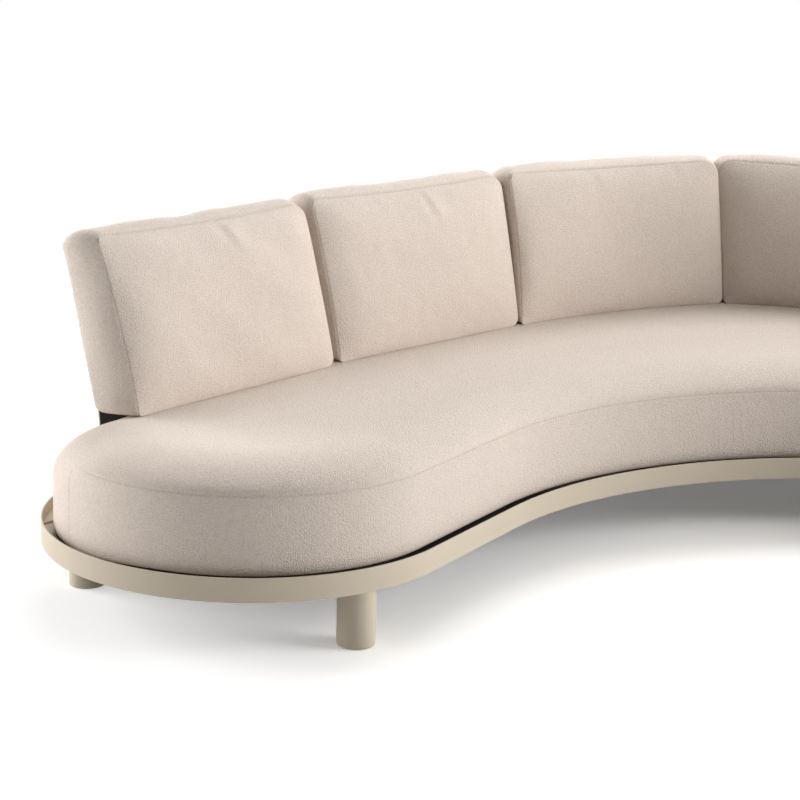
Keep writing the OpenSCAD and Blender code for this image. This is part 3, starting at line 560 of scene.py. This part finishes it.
# width: at the foot. near, far: inset of the end nearer the middle and of the other. lean: degrees.
# flares: how far the far and the near side spread upwards. shift: lean of the line between the centre two.
# fill: how far the backs swell towards the middle. bow: how far the middle stands back from the ends.
# ear, heel, sag: the outer back corner, above outwards, below outwards and below downwards.
# corners: radius of lower far, lower near, upper far and upper near. rounder: added near, on the left only.
# folds: across and up where each starts and ends, and its depth.
backSet = {
    "centre": {
        "width": 0.680, "near": 0.241, "far": 0.255, "lean": 11.5, "flares": (0, 0.035), "shift": 0.018,
        "fill": 0.034, "bow": 0.034, "ear": 0.004, "heel": 0, "sag": 0,
        "corners": (0.011, 0.012, 0.020, 0.034), "rounder": 0.007,
        "folds": [(-0.06, 0.387, -0.035, 0.335, 0.0016), (0.20, 0.387, 0.22, 0.34, 0.0014)]},
    "mid": {
        "width": 0.651, "near": 0.251, "far": 0.238, "lean": 13.5, "flares": (0.013, 0.013), "shift": 0,
        "fill": 0, "bow": 0, "ear": 0.004, "heel": 0, "sag": 0,
        "corners": (0.011, 0.032, 0.020, 0.048), "rounder": 0,
        "folds": [(0.02, 0.387, 0.055, 0.30, 0.0026), (-0.14, 0.387, -0.12, 0.34, 0.0012)]},
    "end": {
        "width": 0.648, "near": 0.250, "far": 0.301, "lean": 16.5, "flares": (0.010, 0.010), "shift": 0,
        "fill": 0, "bow": 0, "ear": 0.014, "heel": 0.034, "sag": 0.013,
        "corners": (0.011, 0.032, 0.020, 0.048), "rounder": 0,
        "folds": [(0.02, 0.387, 0.065, 0.295, 0.0027), (-0.17, 0.387, -0.15, 0.34, 0.0012)]},
}
backSet["centre"]["start"] = backForm["gap"] / 2
backSet["mid"]["start"] = backSet["centre"]["start"] + backSet["centre"]["width"] + backForm["gap"]
backSet["end"]["start"] = backSet["mid"]["start"] + backSet["mid"]["width"] + backForm["endGap"]


def cushionLine(along, inset):
    # a point on the sofa's back line: round the middle's arc, then straight on
    r = backR - backForm["lineIn"]
    arc = r * turn
    a = math.pi / 2 + min(along, arc) / r
    past = max(along - arc, 0)
    return ((backR - inset) * math.cos(a) - past * math.cos(turn),
            backCy + (backR - inset) * math.sin(a) - past * math.sin(turn) - planMid)


def cushionEnds(one):
    # the foot's two ends, the right one nearer the sofa's middle
    return cushionLine(one["start"], one["near"]), cushionLine(one["start"] + one["width"], one["far"])


def roundCorners(u, v, halfW, height, r):
    # the square corners of the panel are pressed into quarter discs
    du = np.maximum(np.abs(u) - (halfW - r), 0)
    low = v < height / 2
    dv = np.where(low, np.maximum(r - v, 0), np.maximum(v - (height - r), 0))
    scale = np.maximum(du, dv) / np.maximum(np.hypot(du, dv), 1e-9)
    u = np.where(du > 0, np.sign(u) * (halfW - r + du * scale), u)
    v = np.where(dv > 0, np.where(low, r - dv * scale, height - r + dv * scale), v)
    return u, v


def rise(distance, reach):
    return 1 - np.exp(-np.maximum(distance, 0) / reach)


def softWaves(seed, a, b, length, count=9):
    # smooth seeded waves, about -1 to 1
    draw = np.random.RandomState(seed)
    total = np.zeros_like(a)
    for _ in range(count):
        angle, stretch, phase = draw.uniform(0, math.tau), draw.uniform(0.6, 1.8), draw.uniform(0, math.tau)
        k = math.tau / (length * stretch)
        total += np.sin(k * (a * math.cos(angle) + b * math.sin(angle)) + phase)
    return total / math.sqrt(count)


def foldDips(u, v, folds):
    # shallow pulled folds that run down from the top seam
    f = backForm
    total = np.zeros_like(u)
    for u0, v0, u1, v1, depth in folds:
        du, dv = u1 - u0, v1 - v0
        t = ((u - u0) * du + (v - v0) * dv) / (du * du + dv * dv)
        off = ((u - u0) * dv - (v - v0) * du) / math.hypot(du, dv)
        fade = np.exp(-np.maximum(t - f["foldFade"], 0) ** 2 * 4) * (t > f["foldStart"])
        ridge = np.exp(-((off + f["ridgeAt"]) / f["ridgeWide"]) ** 2)
        total += depth * fade * (ridge - np.exp(-(off / f["furrowWide"]) ** 2))
    return total


def cornerRadius(one, sign, u, v, q):
    f = backForm
    lowFar, lowNear, topFar, topNear = one["corners"]
    more = one["rounder"] if sign > 0 else 0
    upper, lower = np.where(u > 0, topNear + more, topFar), np.where(u > 0, lowNear + more, lowFar)
    r = np.where(v > f["height"] / 2, upper, lower) * (f["cornerShare"] + f["cornerTaper"] * q)
    return r + np.where((v < f["height"] / 2) & (u < 0), f["heelRound"] * (1 - q) / 2, 0)


def cushionShape(kind, sign, seed, face, u, v, q):
    # u runs across from the middle, v up, q from the back seam at -1 to the front seam at 1
    f, one = backForm, backSet[kind]
    right, left = cushionEnds(one)
    halfW, height, half = math.dist(right, left) / 2, f["height"], f["thick"] / 2
    r = cornerRadius(one, sign, u, v, q)
    u, v = roundCorners(u, v, halfW, height, r)
    edge = np.minimum(halfW - np.abs(u), np.minimum(v, height - v))
    bulge = (rise(halfW - np.abs(u), f["reachSide"]) * rise(v, f["reachLow"])
             * rise(height - v, f["reachTop"]))
    (length, tall), (fineLength, fineTall) = f["wave"], f["fineWave"]
    wave = softWaves(seed, u, v, length) * tall + softWaves(seed + 1, u, v, fineLength, 7) * fineTall
    length, tall = f["gather"]
    gather = (softWaves(seed + 2, u, v * f["gatherStretch"], length, 8) * tall
              * np.exp(-(height - v) / f["gatherReach"]))
    if face == "front":
        near = np.minimum(bulge * f["faceStart"], 1)
        through = half + f["crown"] * bulge + (wave + gather) * near + foldDips(u, v, one["folds"]) * near
    elif face == "back":
        through = -half - f["backCrown"] * bulge - wave * bulge
    else:
        through = q * half
    swell = np.clip(1 - q * q, 0, 1) ** f["puffRound"] if face == "box" else np.zeros_like(u)
    top, low = np.clip((v - (height - r)) / r, 0, 1), np.clip((r - v) / r, 0, 1)
    side = np.clip((np.abs(u) - (halfW - r)) / r, 0, 1)
    length, tall = f["ripple"]
    ripple = softWaves(seed + 3, u + v, through, length, 6) * tall * swell
    seam = np.exp(-(edge / f["pinchWide"]) ** 2)
    if face == "box":
        seam = np.exp(-((1 - np.abs(q)) * half / f["pinchWide"]) ** 2)
    pinch = f["pinch"] * seam * (1 - low * 0.6)
    outer = (1 - q) / 2 * np.clip(-u / halfW, 0, 1) ** 4
    foot = np.clip(1 - v / height, 0, 1)
    ear = one["ear"] * np.clip(v / height, 0, 1) ** 3 * outer
    heel, sag = one["heel"] * foot ** 1.3 * outer, one["sag"] * foot ** 2 * outer
    topPuff = f["topPuff"] * (f["puffMiddle"] - f["puffEnds"] * np.abs(u / halfW) ** 5)
    u = u + np.sign(u) * side * (f["sidePuff"] * swell * (1 - low) + ripple - pinch) - ear - heel
    v = v + top * (topPuff * swell + ripple - pinch) + ear * f["earUp"]
    through = through - np.sign(through) * pinch * f["pinchIn"]
    # the last value is painted shade along the seams, less near the bottom
    return u, v, through, sag, seam * (1 - low * 0.5)


def placeCushion(kind, sign, u, v, q, sag):
    # leans the cushion back, spreads and bows it, and stands it on its line
    f, one = backForm, backSet[kind]
    right, left = cushionEnds(one)
    halfW, height, half = math.dist(right, left) / 2, f["height"], f["thick"] / 2
    lean = math.radians(one["lean"])
    halfUp = np.maximum(1 - (2 * v / height - 1) ** 2, 0)
    backward = 0.5 - q / f["thick"]
    nearFlare = one["flares"][1] - sign * one["shift"] + one["fill"] * backward
    lowFill = one["fill"] * f["lowFill"] * backward * (1 - v / height)
    flare = np.where(u < 0, one["flares"][0] * v / height, nearFlare * v / height + lowFill) * u / halfW
    sideDraw = np.where(u < 0, f["draw"], -f["swell"]) * halfUp * u / halfW
    up = np.maximum(v - f["draw"] * (1 - (u / halfW) ** 2) * v / height, 0)
    belly = f["belly"] * halfUp * np.maximum(-q / half, 0)
    tilt = lean * np.minimum(1, 2 * v / height)
    x = u + flare - sideDraw
    y = half + up * math.sin(lean) - q * np.cos(tilt) + belly + one["bow"] * (1 - (u / halfW) ** 2)
    z = f["base"] + up * math.cos(lean) + (q - half) * np.sin(tilt)
    angle = math.atan2(right[1] - left[1], right[0] - left[0])
    px = (right[0] + left[0]) / 2 + x * math.cos(angle) - y * math.sin(angle)
    py = (right[1] + left[1]) / 2 + x * math.sin(angle) + y * math.cos(angle)
    return np.stack([px * sign, py, np.maximum(z, f["base"]) - sag], 1)


def seamStations(length, step):
    # places along a side, close together beside the seams at both ends
    near = np.array([0, 1.2, 2.4, 3.7, 5.4, 7.8, 11.2, 16]) / 1000
    clear = near[-1]
    inner = np.linspace(clear, length - clear, max(round((length - 2 * clear) / step), 2) + 1)[1:-1]
    return np.concatenate([near, inner, length - near[::-1]])


def makeCushion(kind, sideName, seed):
    f = backForm
    sign = -1 if sideName == "right" else 1
    wide = math.dist(*cushionEnds(backSet[kind]))
    acrossAt, upAt = seamStations(wide, f["step"]) - wide / 2, seamStations(f["height"], f["step"])
    throughAt = 1 - 2 * seamStations(f["thick"], f["step"]) / f["thick"]
    around = ([(x, 0) for x in acrossAt[:-1]] + [(wide / 2, y) for y in upAt[:-1]]
              + [(x, f["height"]) for x in acrossAt[:0:-1]] + [(-wide / 2, y) for y in upAt[:0:-1]])
    around = np.array(around + around[:1])
    bm = bmesh.new()
    paintedShadeLayer = bm.verts.layers.float.new("seam")
    for face in ("front", "back", "box"):
        columns, rows = (len(around), len(throughAt)) if face == "box" else (len(acrossAt), len(upAt))
        made = bmesh.ops.create_grid(bm, x_segments=columns - 1, y_segments=rows - 1, size=0.5)["verts"]
        column = np.array([round((vert.co.x + 0.5) * (columns - 1)) for vert in made])
        row = np.array([round((vert.co.y + 0.5) * (rows - 1)) for vert in made])
        if face == "box":
            u, v = around[column].T
            q = throughAt[row]
        else:
            u, v = acrossAt[column], upAt[row]
            q = np.full(len(u), 1.0 if face == "front" else -1.0)
        # the last value returned is painted shade along the seams
        *shape, seam = cushionShape(kind, sign, seed, face, u, v, q)
        for vert, place, paintedShade in zip(made, placeCushion(kind, sign, *shape), seam):
            vert.co = place
            vert[paintedShadeLayer] = paintedShade
    bmesh.ops.remove_doubles(bm, verts=bm.verts, dist=2e-5)
    piece = makePiece("back_pad_" + kind + "_" + sideName, bm, fabric, "cushion_" + kind + "_" + sideName,
                      ["back_cushion_" + kind + "_" + sideName])


for number, (kind, sideName) in enumerate([("end", "left"), ("mid", "left"), ("centre", "left"),
                                           ("centre", "right"), ("mid", "right"), ("end", "right")]):
    # each cushion has its own seeds, four apiece
    makeCushion(kind, sideName, 11 + 7 * number)
    print("cushion made", kind, sideName)

# Studio: pale floor that keeps the sofa's shadow and fades to white, and soft lamps at both sides and above
studio = {
    "floorSize": 60.0, "floorTone": 0.80, "floorPaler": 1.01, "floorGrain": 3.0, "floorGrainDetail": 2.0,
    "floorRough": 0.9, "floorSpecular": 0.1, "floorGain": 0.39, "floorLift": 0.15,
    "liftTone": rgb(1.0, 0.975, 0.94), "fadeAt": (0.9, 0.3, 0.0), "fadeFrom": 2.05, "fadeTo": 3.35,
    "worldLevel": 0.075, "airTone": rgb(1.0, 0.93, 0.85),
    # name, place, aim, size and power
    "lamps": [
        ("lampLeft", (-7.5, 2.5, 2.6), (-0.6, 0, 0.4), (4.0, 4.0), 472.0),
        ("lampLeftLow", (-7.5, -1.6, 1.7), (-1.2, 0, 0.3), (3.0, 2.6), 138.0),
        ("lampRight", (7.0, -2.2, 2.8), (0.2, 0, 0.4), (4.0, 4.0), 545.0),
        ("lampFarRight", (7.5, 2.6, 2.8), (0, 0, 0.4), (4.0, 3.5), 240.0),
        ("lampBackTop", (0.4, 3.6, 5.4), (0, 0, 0.2), (6.0, 3.0), 300.0),
        ("lampOver", (1.3, -1.7, 4.4), (0.5, 0.2, 0.3), (3.0, 3.0), 24.0),
    ],
}


def backdropRays(kit):
    # 1 for the rays that show the backdrop itself: from the camera, off a glossy face or through glass
    camera, glossy, through = [kit.add("ShaderNodeLightPath", out=ray) for ray in (
        "Is Camera Ray", "Is Glossy Ray", "Is Transmission Ray")]
    return camera + glossy + through


def makeFloor():
    look = studio
    bm = bmesh.new()
    bmesh.ops.create_grid(bm, x_segments=1, y_segments=1, size=look["floorSize"] / 2)
    mesh = bpy.data.meshes.new("floor")
    bm.to_mesh(mesh)
    bm.free()
    floor = bpy.data.objects.new("floor", mesh)
    bpy.context.scene.collection.objects.link(floor)
    kit = NodeKit(bpy.data.materials.new("studioFloor"))
    place = kit.add("ShaderNodeTexCoord", out="Object")
    grain = kit.noise(place, look["floorGrain"], look["floorGrainDetail"])
    away = kit.add("ShaderNodeVectorMath", {"operation": "DISTANCE"}, {0: place, 1: look["fadeAt"]},
                   out="Value")
    far = kit.add("ShaderNodeMapRange", {"interpolation_type": "SMOOTHSTEP"},
                  {"Value": away, "From Min": look["fadeFrom"], "From Max": look["fadeTo"]})
    tone, paler = look["floorTone"], look["floorTone"] * look["floorPaler"]
    colour = kit.mix(grain, rgb(tone, tone, tone), rgb(paler, paler, paler))
    shaded = kit.add("ShaderNodeBsdfPrincipled", None, {
        "Base Color": colour, "Roughness": look["floorRough"], "Specular IOR Level": look["floorSpecular"]})
    lift = kit.add("ShaderNodeEmission", None, {"Color": look["liftTone"], "Strength": look["floorLift"]})
    white = kit.add("ShaderNodeEmission", None, {"Strength": 1.0})
    gain = kit.add("ShaderNodeBsdfDiffuse", None, {"Color": rgb(*[look["floorGain"]] * 3)})
    brighter = kit.add("ShaderNodeAddShader", None, {0: shaded, 1: gain})
    lifted = kit.add("ShaderNodeAddShader", None, {0: brighter, 1: lift})
    faded = kit.add("ShaderNodeMixShader", None, {0: far, 1: lifted, 2: white})
    mesh.materials.append(kit.surface(kit.add("ShaderNodeMixShader", None, {
        0: backdropRays(kit), 1: shaded, 2: faded})))


def makeAir():
    # low, warm light from all round, and plain white behind the sofa
    kit = NodeKit(bpy.data.worlds.new("studioAir"))
    soft = kit.add("ShaderNodeBackground", None, {
        "Color": studio["airTone"], "Strength": studio["worldLevel"]})
    white = kit.add("ShaderNodeBackground", None, {"Color": rgb(1, 1, 1), "Strength": 1.0})
    shown = kit.add("ShaderNodeMixShader", None, {0: backdropRays(kit), 1: soft, 2: white})
    bpy.context.scene.world = kit.surface(shown, "ShaderNodeOutputWorld")


def makeLamps():
    for name, place, aim, size, power in studio["lamps"]:
        data = bpy.data.lights.new(name, "AREA")
        data.shape = "RECTANGLE"
        data.size, data.size_y = size
        data.energy = power
        lamp = bpy.data.objects.new(name, data)
        lamp.location = place
        lamp.rotation_euler = (Vector(aim) - Vector(place)).to_track_quat("-Z", "Y").to_euler()
        bpy.context.scene.collection.objects.link(lamp)


makeFloor()
makeAir()
makeLamps()
print("studio made", len(studio["lamps"]), "lamps")

# Camera, solved from the rail and the legs in the photograph: metres, degrees and millimetres of lens
shot = {
    "place": (-1.467, -4.8485, 1.516), "heading": (0.1045, 0.9945), "pitch": 14.09, "roll": -1.291,
    "lens": 94.995, "sensor": 36.0,
}


def makeCamera():
    data = bpy.data.cameras.new("camera")
    data.sensor_width = shot["sensor"]
    data.lens = shot["lens"]
    camera = bpy.data.objects.new("camera", data)
    pitch, roll = math.radians(shot["pitch"]), math.radians(shot["roll"])
    heading = Vector(shot["heading"]).normalized()
    ahead = Vector((heading.x * math.cos(pitch), heading.y * math.cos(pitch), -math.sin(pitch)))
    flat = Vector((heading.y, -heading.x, 0))
    right = flat * math.cos(roll) - flat.cross(ahead) * math.sin(roll)
    up = right.cross(ahead)
    turned = Matrix((right, up, -ahead)).transposed().to_4x4()
    camera.matrix_world = Matrix.Translation(shot["place"]) @ turned
    bpy.context.scene.collection.objects.link(camera)
    bpy.context.scene.camera = camera
    bpy.context.scene.view_settings.view_transform = "Standard"


makeCamera()
print("camera set")
